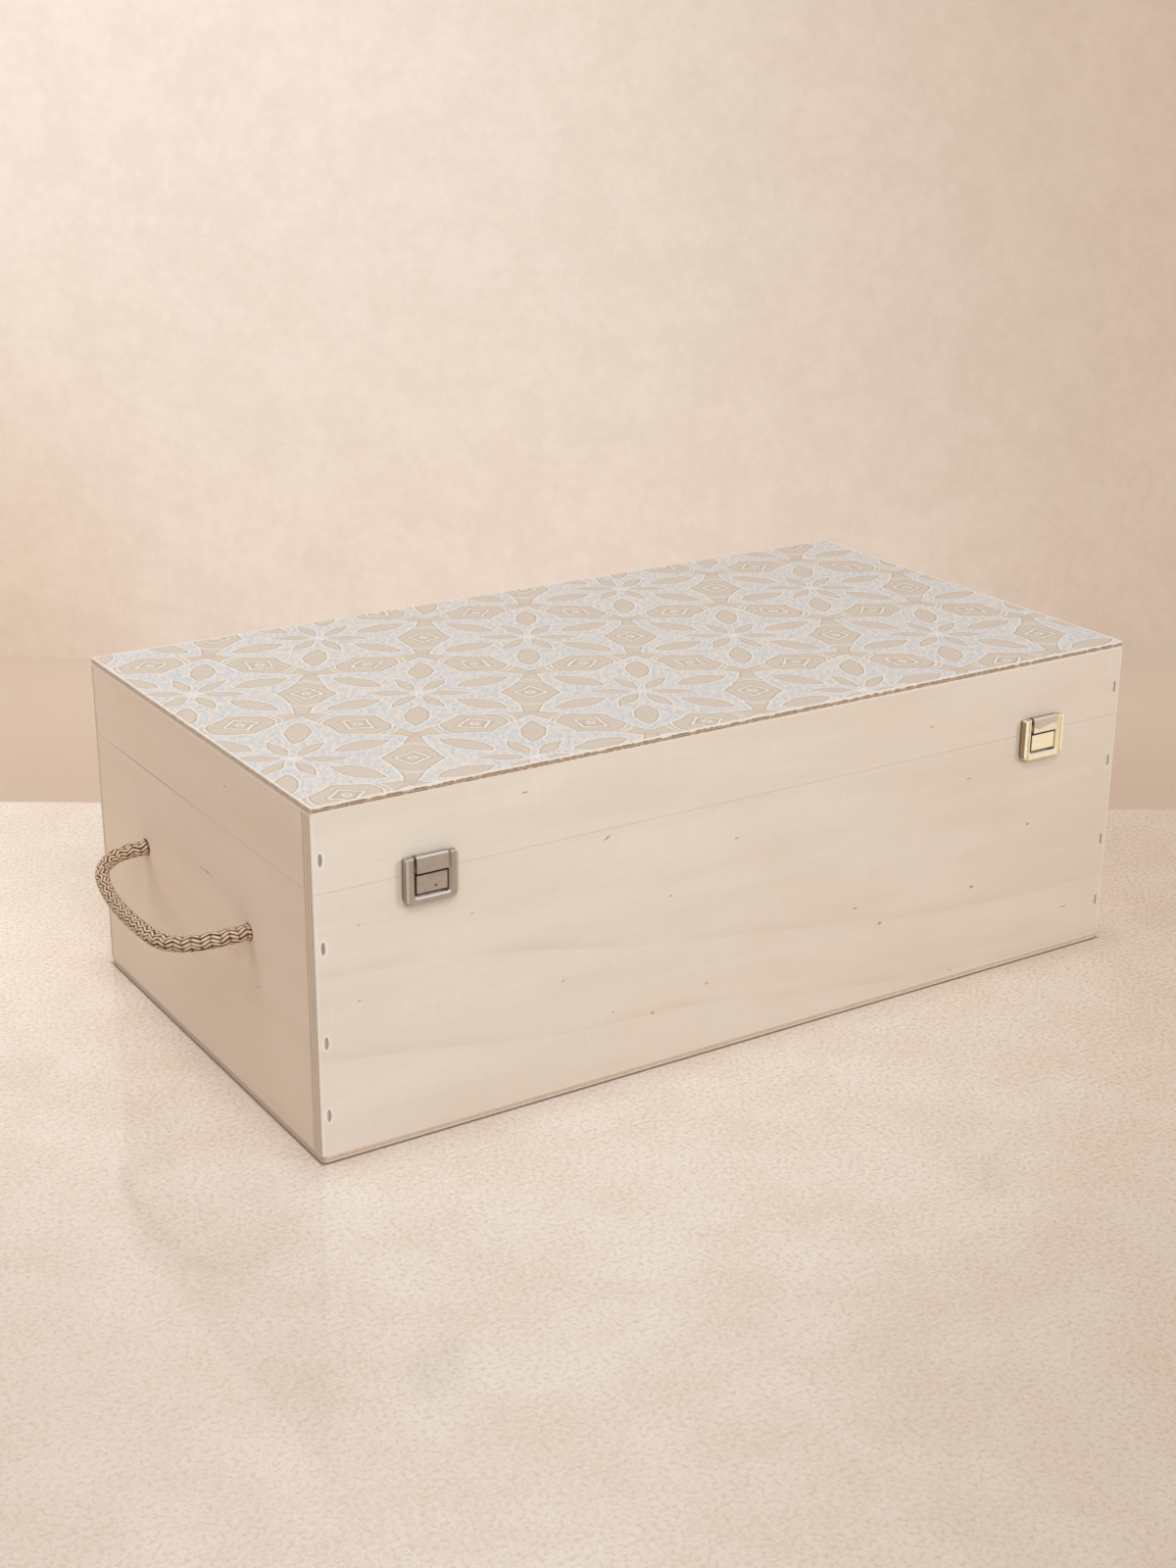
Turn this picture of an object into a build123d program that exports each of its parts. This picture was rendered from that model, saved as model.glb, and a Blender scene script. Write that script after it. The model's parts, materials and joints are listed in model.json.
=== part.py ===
from build123d import *
import math
import os

# A plywood keepsake box: a glued and stapled case, sawn into a base and a lid. The lid turns on two
# butt hinges at the back and is held by two ring latches at the front, and each end has a rope handle.
# The origin is the centre of the underside. +X runs right along the front, +Y to the back and +Z up.

os.makedirs("parts", exist_ok=True)

# The closed case, outside
box_length = 500.0
box_width = 268.0
box_height = 180.0
lid_height = 42.2
saw_gap = 0.1

# Thickness of each ply
front_ply = 10.0
back_ply = 4.0
end_ply = 8.0
top_ply = 4.0
bottom_ply = 4.0

# Sanded edges
corner_ease = 0.8
top_inset = 0.3
bottom_corner_radius = 3.0
bottom_edge_radius = 1.0

# Wire staples, driven through the front and back into the ends' edges
staple_crown = 5.8
staple_wire_width = 1.2
staple_wire_thickness = 0.6
staple_leg = 16.0
staple_sink = 0.4
staple_slot_clearance = 0.05
low_staple_rise = 21.0
high_staple_drop = 27.0
middle_staple_share = 0.44
lid_staple_share = 0.43

# Ring latches on the front
latch_inset = 59.2
latch_width = 28.0
ring_depth = 4.4
ring_wall_gap = 0.3
ring_arm = 5.0
ring_bar = 4.0
ring_bar_thickness = 0.9
ring_drop = 14.3
ring_outer_radius = 4.0
ring_window_radius = 1.2
ring_top_rise = 1.8
ring_shoulder_radius = 2.2
ring_top_radius = 1.3
ring_edge_radius = 0.9
ring_bevel = 1.3
dimple_radius = 1.0
dimple_depth = 0.5
latch_pin_rise = 7.4
latch_pin_radius = 1.15
latch_pin_seat = 3.5
latch_side_gap = 0.6
flap_seam_gap = 1.3
flap_thickness = 1.0
catch_thickness = 3.65
catch_seam_gap = 0.3
catch_bar_gap = 0.3
catch_edge_radius = 0.4
spike_radius = 0.8
spike_length = 6.0
spike_spacing = 9.0

# Butt hinges on the back
hinge_inset = 60.0
hinge_length = 30.0
hinge_leaf_height = 12.0
hinge_leaf_thickness = 1.0
barrel_radius = 2.2
hinge_pin_radius = 1.1
knuckle_count = 5
knuckle_gap = 0.1
barrel_clearance = 0.3
rivet_radius = 1.0
rivet_head_radius = 2.0
rivet_head_height = 0.8
rivet_head_round = 0.56
rivet_spacing = 18.0
leaf_corner_radius = 1.5

# Running and seated pin clearances, on the radius
running_clearance = 0.05
seated_clearance = 0.02
hole_clearance = 0.05

# Rope handles
rope_diameter = 8.5
rope_hole_clearance = 0.35
rope_bend_share = 0.45
handle_spacing = 129.0
handle_setback = 4.5
handle_height = 92.3
handle_pivot_clearance = 0.4
rope_tail_proud = 0.2
knot_radius = 11.0
knot_length = 19.0
knot_round = 6.0
knot_stub = 12.0

# Surfaces that more than one piece meets
seam_z = box_height - lid_height
base_top = seam_z - saw_gap / 2
lid_bottom = seam_z + saw_gap / 2
rail_top = box_height - top_ply
front_face = -box_width / 2
back_face = box_width / 2
end_face = box_length / 2
rope_radius = rope_diameter / 2


def save(name, *solids):
    shape = solids[0] if len(solids) == 1 else Compound(children=list(solids))
    export_step(shape, f"parts/{name}.step")


def block(x_span, y_span, z_span):
    size = [high - low for low, high in (x_span, y_span, z_span)]
    middle = [(low + high) / 2 for low, high in (x_span, y_span, z_span)]
    return Pos(*middle) * Box(*size)


def rod_x(radius, x_low, x_high, y, z):
    return Pos((x_low + x_high) / 2, y, z) * Rot(0, 90, 0) * Cylinder(radius, x_high - x_low)


def rod_y(radius, x, y_low, y_high, z):
    return Pos(x, (y_low + y_high) / 2, z) * Rot(90, 0, 0) * Cylinder(radius, y_high - y_low)


# Staples: a crown across the joint and two legs. Made upright at the origin, pointing along +Y.
def staple(clearance=0.0):
    wide = staple_wire_width + 2 * clearance
    thick = staple_wire_thickness + 2 * clearance
    half_wide = wide / 2
    half_crown = staple_crown / 2 + clearance
    shape = block((-half_wide, half_wide), (-clearance, thick - clearance), (-half_crown, half_crown))
    for low, high in ((-half_crown, thick - half_crown), (half_crown - thick, half_crown)):
        shape += block((-half_wide, half_wide), (-clearance, staple_leg + clearance), (low, high))
    return shape


def staple_slot():
    half_wide = staple_wire_width / 2 + staple_slot_clearance
    half_crown = staple_crown / 2 + staple_slot_clearance
    mouth = block((-half_wide, half_wide), (-2 * staple_sink, 0), (-half_crown, half_crown))
    return staple(staple_slot_clearance) + mouth


low_staple = bottom_ply + low_staple_rise
high_staple = base_top - high_staple_drop
middle_staple = low_staple + middle_staple_share * (high_staple - low_staple)
base_staple_heights = (low_staple, middle_staple, high_staple)
lid_staple_heights = (lid_bottom + lid_staple_share * (rail_top - lid_bottom),)
staple_x = end_face - end_ply / 2


def staple_places(side, heights):
    face = front_face + staple_sink if side == "front" else back_face - staple_sink
    turn = 0 if side == "front" else 180
    return [Pos(x, face, z) * Rot(0, 0, turn) for x in (-staple_x, staple_x) for z in heights]


def with_staple_slots(panel, sides, heights):
    for side in sides:
        for place in staple_places(side, heights):
            panel -= place * staple_slot()
    return panel


# Front and back run the whole length and cover the ends' edges.
def long_panel(side, z_span, heights):
    x_span = (-end_face, end_face)
    if side == "front":
        panel = block(x_span, (front_face, front_face + front_ply), z_span)
        outer = panel.edges().filter_by(Axis.Z).group_by(Axis.Y)[0]
    else:
        panel = block(x_span, (back_face - back_ply, back_face), z_span)
        outer = panel.edges().filter_by(Axis.Z).group_by(Axis.Y)[-1]
    panel = fillet(outer, corner_ease)
    return with_staple_slots(panel, (side,), heights)


def end_panel(end, z_span, heights):
    x_span = sorted((end * end_face, end * (end_face - end_ply)))
    panel = block(x_span, (front_face + front_ply, back_face - back_ply), z_span)
    return with_staple_slots(panel, ("front", "back"), heights)


# The latches' pieces are made with the wall's face at Y 0 and the saw cut at Z 0, then placed.
latch_x = {"left": latch_inset - end_face, "right": end_face - latch_inset}
latch_places = {name: Pos(x, front_face, seam_z) for name, x in latch_x.items()}
pin_z = latch_pin_rise
ring_back = -ring_wall_gap
ring_front = ring_back - ring_depth
pin_y = (ring_front + ring_back) / 2
ring_bottom = -ring_drop
ring_top = pin_z + ring_top_rise
window_half = latch_width / 2 - ring_arm
plate_half = window_half - latch_side_gap
flap_radius = -pin_y
flap_bottom = flap_seam_gap
catch_bottom = ring_bottom + ring_bar + catch_bar_gap
catch_top = -catch_seam_gap
catch_middle = (catch_bottom + catch_top) / 2
flap_middle = (flap_bottom + pin_z) / 2


def spikes(z, clearance=0.0):
    depth = spike_length + clearance
    shapes = []
    for x in (-spike_spacing / 2, spike_spacing / 2):
        shapes.append(rod_y(spike_radius + clearance, x, 0, depth, z))
    return shapes


# The flap is one strip, folded over the pin: a back leaf on the lid and a front leaf that shows.
def latch_flap():
    roll = Circle(flap_radius) - Circle(latch_pin_radius + running_clearance)
    fold = Rectangle(2 * flap_radius, pin_z - flap_bottom, align=(Align.CENTER, Align.MAX))
    hollow_width = 2 * (flap_radius - flap_thickness)
    hollow = Rectangle(hollow_width, pin_z - flap_bottom, align=(Align.CENTER, Align.MAX))
    profile = roll + fold - hollow - Circle(latch_pin_radius + running_clearance)
    side = Plane((-plate_half, pin_y, pin_z), x_dir=(0, 1, 0), z_dir=(1, 0, 0))
    flap = extrude(side * profile, 2 * plate_half)
    return flap.fuse(*spikes(flap_middle))


# The ring is a flat U with a bevelled window. Its bar is thinned at the back, to pass in front of
# the catch, and its arms have blind bores for the pin and a small dimple on each side.
def latch_ring():
    half = latch_width / 2
    ring = block((-half, half), (ring_front, ring_back), (ring_bottom, ring_top))
    ring = fillet(ring.edges().filter_by(Axis.Y).group_by(Axis.Z)[0], ring_outer_radius)
    ring = fillet(ring.edges().filter_by(Axis.Y).group_by(Axis.Z)[-1], ring_shoulder_radius)
    window_low = ring_bottom + ring_bar
    window_z = (window_low, ring_top + ring_depth)
    window = block((-window_half, window_half), (ring_front - ring_depth, 0), window_z)
    ring -= fillet(window.edges().filter_by(Axis.Y).group_by(Axis.Z)[0], ring_window_radius)
    arm_x = half - ring_arm / 2
    bar_z = window_low - ring_bar / 2
    arm_end_z = ring_top - ring_depth
    middles = [(edge, edge.center()) for edge in ring.faces().sort_by(Axis.Y)[0].edges()]
    window_rim = [edge for edge, at in middles if abs(at.X) < arm_x and bar_z < at.Z < arm_end_z]
    ring = chamfer(window_rim, ring_bevel)
    for face_y, inward in ((ring_front, 1), (ring_back, -1)):
        centre_y = face_y + inward * ring_top_radius
        centre_z = ring_top - ring_top_radius
        corner_y = sorted((face_y - inward, centre_y))
        corner = block((-latch_width, latch_width), corner_y, (centre_z, ring_top + ring_depth))
        ring -= corner - rod_x(ring_top_radius, -latch_width, latch_width, centre_y, centre_z)
    middles = [(edge, edge.center()) for edge in ring.faces().sort_by(Axis.Y)[0].edges()]
    rim = [edge for edge, at in middles if at.Z < bar_z or (abs(at.X) > arm_x and at.Z < arm_end_z)]
    ring = fillet(rim, ring_edge_radius)
    bar_back = ring_front + ring_bar_thickness
    ring -= block((-window_half, window_half), (bar_back, 0), (ring_bottom - ring_bar, pin_z))
    for side in (-1, 1):
        seat = sorted((side * plate_half, side * (window_half + latch_pin_seat + seated_clearance)))
        ring -= rod_x(latch_pin_radius + seated_clearance, *seat, pin_y, pin_z)
        dimple = Rot(0, 90 * side, 0) * Cone(0, 2 * dimple_radius, 2 * dimple_depth)
        ring -= Pos(side * half, pin_y, catch_middle) * dimple
    return ring


def latch_pin():
    half = window_half + latch_pin_seat
    return rod_x(latch_pin_radius, -half, half, pin_y, pin_z)


def latch_catch():
    catch = block((-plate_half, plate_half), (-catch_thickness, 0), (catch_bottom, catch_top))
    catch = fillet(catch.faces().sort_by(Axis.Y)[0].edges(), catch_edge_radius)
    return catch.fuse(*spikes(catch_middle))


# The hinges' leaves lie flat on the back, and their barrel stands out from it on the saw cut.
# Their pieces are made with the wall's face at Y 0 and the saw cut at Z 0, then placed.
hinge_x = {"left": hinge_inset - end_face, "right": end_face - hinge_inset}
hinge_places = {name: Pos(x, back_face, seam_z) for name, x in hinge_x.items()}
rivet_rise = (barrel_radius + hinge_leaf_height) / 2


def hinge_leaf(side):
    owned = 0 if side < 0 else 1
    half = hinge_length / 2
    leaf = block((-half, half), (0, hinge_leaf_thickness), sorted((0, side * hinge_leaf_height)))
    far_edges = leaf.edges().filter_by(Axis.Y).group_by(Axis.Z)[0 if side < 0 else -1]
    leaf = fillet(far_edges, leaf_corner_radius)
    pitch = hinge_length / knuckle_count
    for index in range(knuckle_count):
        low = -half + index * pitch
        if index % 2 == owned:
            knuckle_x = (low + knuckle_gap / 2, low + pitch - knuckle_gap / 2)
            leaf += rod_x(barrel_radius, *knuckle_x, barrel_radius, 0)
    for index in range(knuckle_count):
        low = -half + index * pitch
        if index % 2 != owned:
            reach = barrel_radius + barrel_clearance
            gap_x = (low - knuckle_gap / 2, low + pitch + knuckle_gap / 2)
            leaf -= block(gap_x, (0, barrel_radius + reach), (-reach, reach))
    fit = seated_clearance if side < 0 else running_clearance
    leaf -= rod_x(hinge_pin_radius + fit, -half, half, barrel_radius, 0)
    for x in (-rivet_spacing / 2, rivet_spacing / 2):
        leaf -= rod_y(rivet_radius + hole_clearance, x, 0, hinge_leaf_thickness, side * rivet_rise)
    return leaf


def hinge_pin():
    return rod_x(hinge_pin_radius, -hinge_length / 2, hinge_length / 2, barrel_radius, 0)


# A rivet's shank holds the leaf and the back ply between its two low heads.
def hinge_rivets(side):
    z = side * rivet_rise
    outer_y = (hinge_leaf_thickness, hinge_leaf_thickness + rivet_head_height)
    inner_y = (-back_ply - rivet_head_height, -back_ply)
    rivets = []
    for x in (-rivet_spacing / 2, rivet_spacing / 2):
        rivet = rod_y(rivet_radius, x, -back_ply, hinge_leaf_thickness, z)
        outer_head = rod_y(rivet_head_radius, x, *outer_y, z)
        dome_edge = outer_head.edges().filter_by(GeomType.CIRCLE).group_by(Axis.Y)[-1]
        rivet += fillet(dome_edge, rivet_head_round)
        rivet += rod_y(rivet_head_radius, x, *inner_y, z)
        rivets.append(rivet)
    return rivets


def rivet_holes(side):
    radius = rivet_radius + hole_clearance
    holes = []
    for place in hinge_places.values():
        for x in (-rivet_spacing / 2, rivet_spacing / 2):
            holes.append(place * rod_y(radius, x, -back_ply, 0, side * rivet_rise))
    return holes


def spike_holes(z):
    return [place * hole for place in latch_places.values() for hole in spikes(z, hole_clearance)]


# Rope handle: its route from hole to hole, as (outward from the end, back from the handle's middle,
# drop below the holes).
handle_route = [
    (0.0, -handle_spacing / 2, 0.0),
    (15.5, -handle_spacing / 2, 0.3),
    (29.0, -57.7, 2.6),
    (37.2, -44.3, 4.6),
    (37.7, -23.5, 6.4),
    (37.4, 0.0, 7.0),
    (36.4, 23.2, 6.0),
    (33.4, 43.0, 3.5),
    (27.1, 56.7, 1.8),
    (14.7, handle_spacing / 2, 0.0),
    (0.0, handle_spacing / 2, 0.0),
]
handle_ends = (handle_setback - handle_spacing / 2, handle_setback + handle_spacing / 2)
pivot_stand_off = rope_radius + handle_pivot_clearance


# Each corner of the route is rounded as far as its shorter neighbouring run allows.
def bend_radii(points):
    radii = []
    for before, corner, after in zip(points, points[1:], points[2:]):
        run_in = Vector(*corner) - Vector(*before)
        run_out = Vector(*after) - Vector(*corner)
        half_turn = math.radians(run_in.get_angle(run_out)) / 2
        radii.append(rope_bend_share * min(run_in.length, run_out.length) / math.tan(half_turn))
    return radii


# The loop swings on the line through its two ends, which are round about that line.
def rope_loop():
    points = [(-end_face - out, handle_setback + y, handle_height - drop) for out, y, drop in handle_route]
    radii = bend_radii(points)
    print("handle bend radii", [round(radius, 1) for radius in radii])
    points[0] = (-end_face - pivot_stand_off, points[0][1], points[0][2])
    points[-1] = (-end_face - pivot_stand_off, points[-1][1], points[-1][2])
    path = FilletPolyline(*points, radius=radii)
    section = Plane(origin=path @ 0, z_dir=path % 0) * Circle(rope_radius)
    loop = sweep(section, path=path)
    print("handle tube", round(loop.volume / (math.pi * rope_radius**2), 2), "mm by volume")
    print("handle tube", round(path.length, 2), "mm by its path")
    for point in (points[0], points[-1]):
        loop += Pos(*point) * Sphere(rope_radius)
    return loop


# Inside the box each end of the rope is tied in a stopper knot, which bears on the end panel.
def rope_ends():
    ends = []
    inner = end_ply - end_face
    for along in handle_ends:
        tail = rod_x(rope_radius, -end_face - rope_tail_proud, inner, along, handle_height)
        knot = rod_x(knot_radius, inner, inner + knot_length, along, handle_height)
        knot = fillet(knot.edges().filter_by(GeomType.CIRCLE), knot_round)
        stub_end = inner + knot_length + knot_stub
        stub = rod_x(rope_radius, inner + knot_length / 2, stub_end, along, handle_height)
        ends.append(tail + knot + stub)
    return ends


def rope_holes(end):
    radius = rope_radius + rope_hole_clearance
    x_span = sorted((end * end_face, end * (end_face - end_ply)))
    return [rod_x(radius, *x_span, along, handle_height) for along in handle_ends]


# Base
base_span = (bottom_ply, base_top)
save("base_front", long_panel("front", base_span, base_staple_heights).cut(*spike_holes(catch_middle)))
save("base_back", long_panel("back", base_span, base_staple_heights).cut(*rivet_holes(-1)))
for end, name in ((-1, "left"), (1, "right")):
    panel = end_panel(end, base_span, base_staple_heights)
    save(f"base_{name}_end", panel.cut(*rope_holes(end)))

bottom = block((-end_face, end_face), (front_face, back_face), (0, bottom_ply))
bottom = fillet(bottom.edges().filter_by(Axis.Z), bottom_corner_radius)
bottom = fillet(bottom.faces().sort_by(Axis.Z)[0].edges(), bottom_edge_radius)
save("base_bottom", bottom)

# Lid
lid_span = (lid_bottom, rail_top)
save("lid_front", long_panel("front", lid_span, lid_staple_heights).cut(*spike_holes(flap_middle)))
save("lid_back", long_panel("back", lid_span, lid_staple_heights).cut(*rivet_holes(1)))
for end, name in ((-1, "left"), (1, "right")):
    save(f"lid_{name}_end", end_panel(end, lid_span, lid_staple_heights))

top_half_length = end_face - top_inset
top_half_width = box_width / 2 - top_inset
top_spans = ((-top_half_length, top_half_length), (-top_half_width, top_half_width))
lid_top = block(*top_spans, (rail_top, box_height))
save("lid_top", fillet(lid_top.edges().filter_by(Axis.Z), corner_ease))

# Staples
for side in ("front", "back"):
    for part, heights in (("base", base_staple_heights), ("lid", lid_staple_heights)):
        save(f"{part}_{side}_staples", *[place * staple() for place in staple_places(side, heights)])

# Latches
for name, place in latch_places.items():
    save(f"{name}_latch_flap", place * latch_flap())
    save(f"{name}_latch_ring", place * latch_ring())
    save(f"{name}_latch_pin", place * latch_pin())
    save(f"{name}_latch_catch", place * latch_catch())

# Hinges
for name, place in hinge_places.items():
    save(f"{name}_hinge_pin", place * hinge_pin())
    for part, side in (("base", -1), ("lid", 1)):
        save(f"{name}_hinge_{part}_leaf", place * hinge_leaf(side))
        save(f"{name}_hinge_{part}_rivets", *[place * rivet for rivet in hinge_rivets(side)])

# Rope handles
loop = rope_loop()
ends = rope_ends()
save("left_rope_loop", loop)
save("left_rope_ends", *ends)
save("right_rope_loop", mirror(loop, about=Plane.YZ))
save("right_rope_ends", *[mirror(rope_end, about=Plane.YZ) for rope_end in ends])
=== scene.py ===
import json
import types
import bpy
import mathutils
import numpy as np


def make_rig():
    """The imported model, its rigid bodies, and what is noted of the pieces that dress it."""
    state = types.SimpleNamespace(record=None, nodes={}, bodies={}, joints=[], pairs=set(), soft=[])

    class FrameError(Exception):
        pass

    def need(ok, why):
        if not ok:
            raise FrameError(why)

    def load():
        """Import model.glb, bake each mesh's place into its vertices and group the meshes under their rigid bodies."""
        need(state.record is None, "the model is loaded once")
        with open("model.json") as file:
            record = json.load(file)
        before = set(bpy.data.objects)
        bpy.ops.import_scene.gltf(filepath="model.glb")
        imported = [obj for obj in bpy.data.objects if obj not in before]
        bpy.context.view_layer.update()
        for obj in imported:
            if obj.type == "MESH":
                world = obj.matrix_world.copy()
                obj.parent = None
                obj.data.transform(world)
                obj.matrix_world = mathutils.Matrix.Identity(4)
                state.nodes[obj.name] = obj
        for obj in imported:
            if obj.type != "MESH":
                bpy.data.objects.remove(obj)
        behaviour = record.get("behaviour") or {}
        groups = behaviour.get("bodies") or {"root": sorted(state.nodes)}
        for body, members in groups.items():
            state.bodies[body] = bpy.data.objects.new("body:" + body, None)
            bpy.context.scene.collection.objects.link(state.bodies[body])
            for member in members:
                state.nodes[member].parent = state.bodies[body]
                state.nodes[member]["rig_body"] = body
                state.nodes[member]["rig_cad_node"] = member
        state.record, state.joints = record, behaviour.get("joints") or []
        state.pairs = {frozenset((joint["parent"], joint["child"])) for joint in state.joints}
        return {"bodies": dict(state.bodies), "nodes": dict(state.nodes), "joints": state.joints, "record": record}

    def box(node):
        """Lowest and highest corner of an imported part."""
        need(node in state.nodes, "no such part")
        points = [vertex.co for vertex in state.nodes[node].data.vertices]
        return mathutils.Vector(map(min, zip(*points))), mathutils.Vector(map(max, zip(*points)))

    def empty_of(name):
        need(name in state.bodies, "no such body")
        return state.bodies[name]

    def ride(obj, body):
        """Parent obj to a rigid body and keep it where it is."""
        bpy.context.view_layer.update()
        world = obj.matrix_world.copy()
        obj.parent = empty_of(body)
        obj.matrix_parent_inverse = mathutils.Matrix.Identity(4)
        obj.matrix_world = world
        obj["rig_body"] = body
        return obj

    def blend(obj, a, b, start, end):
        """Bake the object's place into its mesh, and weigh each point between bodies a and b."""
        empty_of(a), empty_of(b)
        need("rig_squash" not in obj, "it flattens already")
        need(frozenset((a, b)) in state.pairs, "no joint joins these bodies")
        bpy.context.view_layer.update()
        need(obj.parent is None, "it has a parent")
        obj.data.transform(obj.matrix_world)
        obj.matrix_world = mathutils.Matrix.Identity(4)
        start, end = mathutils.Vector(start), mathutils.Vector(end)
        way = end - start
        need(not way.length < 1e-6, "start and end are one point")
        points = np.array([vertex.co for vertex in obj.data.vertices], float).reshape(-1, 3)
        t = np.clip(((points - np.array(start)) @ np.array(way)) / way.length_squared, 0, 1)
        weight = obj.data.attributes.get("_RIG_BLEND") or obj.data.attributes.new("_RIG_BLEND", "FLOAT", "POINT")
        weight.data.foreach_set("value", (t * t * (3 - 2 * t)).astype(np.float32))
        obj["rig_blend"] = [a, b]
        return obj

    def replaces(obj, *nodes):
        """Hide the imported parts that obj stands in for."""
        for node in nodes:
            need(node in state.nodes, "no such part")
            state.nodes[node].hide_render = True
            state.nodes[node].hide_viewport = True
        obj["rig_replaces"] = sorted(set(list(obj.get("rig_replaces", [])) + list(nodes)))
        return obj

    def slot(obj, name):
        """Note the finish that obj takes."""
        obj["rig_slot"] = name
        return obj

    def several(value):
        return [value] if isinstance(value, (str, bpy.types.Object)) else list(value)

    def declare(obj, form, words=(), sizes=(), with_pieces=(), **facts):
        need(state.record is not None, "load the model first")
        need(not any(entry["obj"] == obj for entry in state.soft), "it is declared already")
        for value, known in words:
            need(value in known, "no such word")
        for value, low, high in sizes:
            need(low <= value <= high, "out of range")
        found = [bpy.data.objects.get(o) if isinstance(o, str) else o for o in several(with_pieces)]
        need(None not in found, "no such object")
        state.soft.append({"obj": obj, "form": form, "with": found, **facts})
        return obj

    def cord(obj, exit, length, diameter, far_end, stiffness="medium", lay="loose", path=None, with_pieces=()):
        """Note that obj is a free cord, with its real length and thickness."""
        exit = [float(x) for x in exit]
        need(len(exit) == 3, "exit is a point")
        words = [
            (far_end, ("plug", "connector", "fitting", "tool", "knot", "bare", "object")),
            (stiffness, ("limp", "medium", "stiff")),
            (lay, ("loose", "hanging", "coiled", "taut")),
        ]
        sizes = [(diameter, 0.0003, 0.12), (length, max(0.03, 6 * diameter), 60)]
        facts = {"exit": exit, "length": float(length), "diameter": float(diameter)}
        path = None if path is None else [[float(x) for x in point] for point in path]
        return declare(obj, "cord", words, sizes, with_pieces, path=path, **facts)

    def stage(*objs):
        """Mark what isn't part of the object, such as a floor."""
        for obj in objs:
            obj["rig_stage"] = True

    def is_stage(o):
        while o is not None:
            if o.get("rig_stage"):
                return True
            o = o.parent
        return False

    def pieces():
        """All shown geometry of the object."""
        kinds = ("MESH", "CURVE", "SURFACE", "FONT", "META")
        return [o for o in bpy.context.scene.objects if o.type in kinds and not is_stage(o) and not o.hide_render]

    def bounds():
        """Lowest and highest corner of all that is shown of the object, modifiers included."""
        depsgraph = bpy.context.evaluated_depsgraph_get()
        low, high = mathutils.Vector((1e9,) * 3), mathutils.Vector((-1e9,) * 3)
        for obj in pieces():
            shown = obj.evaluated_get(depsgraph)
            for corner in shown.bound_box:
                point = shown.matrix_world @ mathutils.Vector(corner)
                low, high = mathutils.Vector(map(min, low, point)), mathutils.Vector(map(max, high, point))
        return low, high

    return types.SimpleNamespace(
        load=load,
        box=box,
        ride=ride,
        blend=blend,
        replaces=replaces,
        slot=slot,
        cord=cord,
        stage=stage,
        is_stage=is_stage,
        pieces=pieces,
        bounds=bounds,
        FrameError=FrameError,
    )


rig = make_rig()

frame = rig.load()

import json
import math

import bpy
from mathutils import Matrix, Vector

cad_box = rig.bounds()
nodes = frame["nodes"]

# ---------------------------------------------------------------------------------------------
# The table-top studio: a polished, warm stone-coloured slab for the floor and a plain wall behind
# it, both with painted shade. A big soft lamp above the front and a weaker one low at the front keep
# the shadows soft, and a weak third lamp lights the left of the wall.
# ---------------------------------------------------------------------------------------------
azimuth, elevation, roll = math.radians(-32.63), math.radians(20.26), math.radians(0.393)
flat = math.cos(elevation)
back = Vector((math.sin(azimuth) * flat, -math.cos(azimuth) * flat, math.sin(elevation)))
right = Vector((0, 0, 1)).cross(back).normalized()
up = back.cross(right)
right, up = (right * math.cos(roll) + up * math.sin(roll), up * math.cos(roll) - right * math.sin(roll))
camera = bpy.data.objects.new("camera", bpy.data.cameras.new("camera"))
bpy.context.scene.collection.objects.link(camera)
camera_place = Matrix.Translation((-0.6534, -0.9936, 0.5402))
camera.matrix_world = camera_place @ Matrix((right, up, back)).transposed().to_4x4()
camera.data.lens = 52.05
camera.data.clip_start, camera.data.clip_end = 0.01, 30.0
bpy.context.scene.camera = camera
bpy.context.scene.view_settings.view_transform = "Standard"


def paint(red, green, blue):
    """A paint-chart colour, 0 to 255, as the shaders take it."""
    shares = [v / 255 for v in (red, green, blue)]
    return tuple(v / 12.92 if v <= 0.04045 else ((v + 0.055) / 1.055) ** 2.4 for v in shares) + (1.0,)


def feed(tree, socket, value):
    if isinstance(value, bpy.types.NodeSocket):
        tree.links.new(value, socket)
    elif value is not None:
        socket.default_value = value


def add(tree, kind, values=(), **settings):
    node = tree.nodes.new("ShaderNode" + kind)
    for name, value in settings.items():
        setattr(node, name, value)
    for key, value in (values.items() if isinstance(values, dict) else enumerate(values)):
        feed(tree, node.inputs[key], value)
    return node


def calc(tree, operation, *values):
    return add(tree, "Math", values, operation=operation).outputs[0]


def times(tree, first, second):
    return calc(tree, "MULTIPLY", first, second)


def move(tree, operation, *values):
    return add(tree, "VectorMath", values, operation=operation).outputs[0]


def fade(tree, value, start, end, low=0.0, high=1.0):
    return add(tree, "MapRange", (value, start, end, low, high), interpolation_type="SMOOTHSTEP").outputs[0]


def blend(tree, share, first, second, how="MIX"):
    node = add(tree, "Mix", {0: share, 6: first, 7: second}, data_type="RGBA", blend_type=how)
    return node.outputs[2]


def tint(tree, colour, share, tone):
    """The colour times a tone, as far as the share says."""
    white = (1.0, 1.0, 1.0, 1.0)
    return blend(tree, 1.0, colour, blend(tree, share, white, tone), "MULTIPLY")


def clouds(tree, point, scale, detail=2.0, roughness=0.5):
    values = {"Vector": point, "Scale": scale, "Detail": detail, "Roughness": roughness}
    return add(tree, "TexNoise", values).outputs[0]


def finish(name):
    material = bpy.data.materials.new(name)
    material.use_nodes = True
    tree = material.node_tree
    return material, tree, tree.nodes["Principled BSDF"]


def millimetres(tree):
    where = add(tree, "TexCoord")
    scaled = add(tree, "VectorMath", {0: where.outputs["Object"], "Scale": 1000.0}, operation="SCALE")
    return scaled.outputs[0], where


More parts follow.
